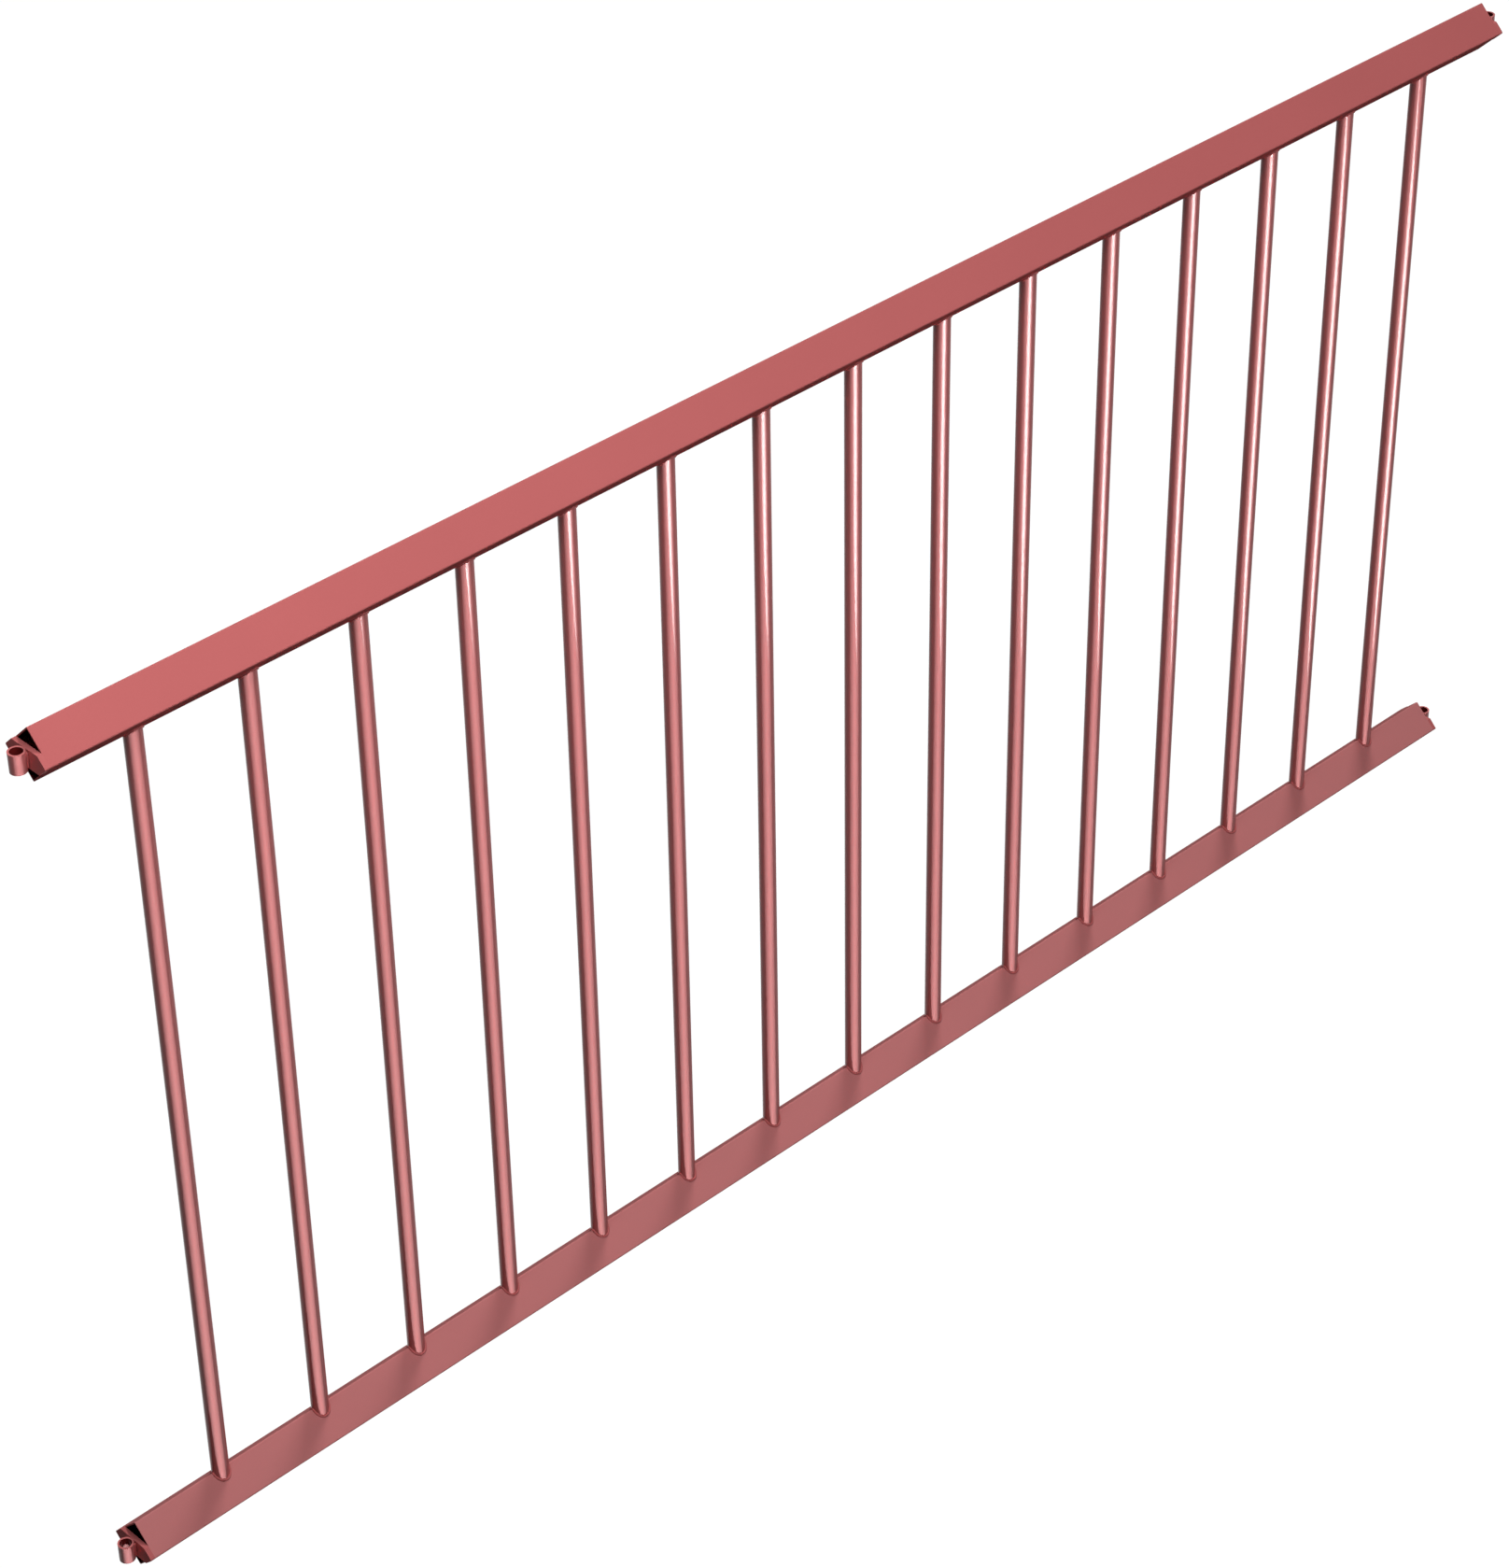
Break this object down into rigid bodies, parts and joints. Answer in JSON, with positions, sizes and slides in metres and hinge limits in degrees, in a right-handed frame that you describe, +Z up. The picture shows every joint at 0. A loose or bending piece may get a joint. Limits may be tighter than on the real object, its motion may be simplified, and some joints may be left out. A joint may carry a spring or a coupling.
{
  "type": "safety fence panel",
  "caption": "Open guard panel of upright round bars between two square tube rails set on edge, with hanging eyes on the rail ends.",
  "frame": {"origin": "on the axis of the lower left eye, in the plane of its bottom ring face", "axes": "+X along the panel to the right, +Y through the panel to its far side, +Z up"},
  "size_m": [1.984, 0.0554, 0.9854],
  "materials": {
    "red_paint": "semi-gloss oxide red paint"
  },
  "bodies": {
    "root": {"bottom_rail": "red_paint", "top_rail": "red_paint", "bar_01": "red_paint", "bar_02": "red_paint", "bar_03": "red_paint", "bar_04": "red_paint", "bar_05": "red_paint", "bar_06": "red_paint", "bar_07": "red_paint", "bar_08": "red_paint", "bar_09": "red_paint", "bar_10": "red_paint", "bar_11": "red_paint", "bar_12": "red_paint", "bar_13": "red_paint", "bar_14": "red_paint", "bar_15": "red_paint", "bottom_left_end_plate": "red_paint", "bottom_left_eye": "red_paint", "bottom_right_end_plate": "red_paint", "bottom_right_eye": "red_paint", "top_left_end_plate": "red_paint", "top_left_eye": "red_paint", "top_right_end_plate": "red_paint", "top_right_eye": "red_paint"}
  },
  "joints": []
}
